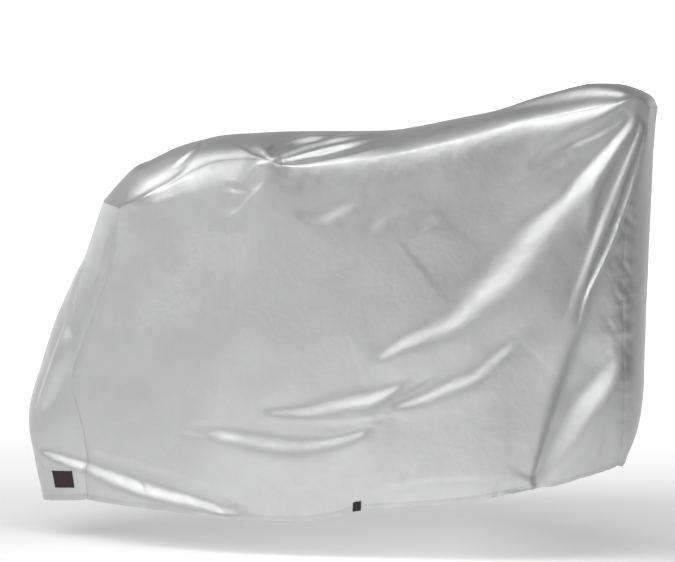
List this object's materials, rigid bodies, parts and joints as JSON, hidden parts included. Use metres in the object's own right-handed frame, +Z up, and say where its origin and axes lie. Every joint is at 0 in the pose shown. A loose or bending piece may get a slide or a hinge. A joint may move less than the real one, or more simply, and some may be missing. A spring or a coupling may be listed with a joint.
{
  "type": "bicycle cover",
  "caption": "Silver cloth cover for a bicycle with a high-backed child seat, hanging open at the bottom and gathered into folds at the high rear corner.",
  "frame": {"origin": "the underside of the top, on the centre plane at about mid-length, where the bicycle holds the cover up", "axes": "+X along the bicycle to its rear, -Y to the bicycle's left side, +Z up"},
  "size_m": [1.8357, 0.5815, 1.2305],
  "materials": {
    "silver_cloth": "satin silver coating",
    "label_patch": "matte woven",
    "black_webbing": "matte woven"
  },
  "bodies": {
    "root": {"side_left": "silver_cloth", "side_right": "silver_cloth", "top_gusset": "silver_cloth", "front_gusset": "silver_cloth", "rear_gusset": "silver_cloth", "label_patch": "label_patch", "hem_tab": "black_webbing"}
  },
  "joints": []
}
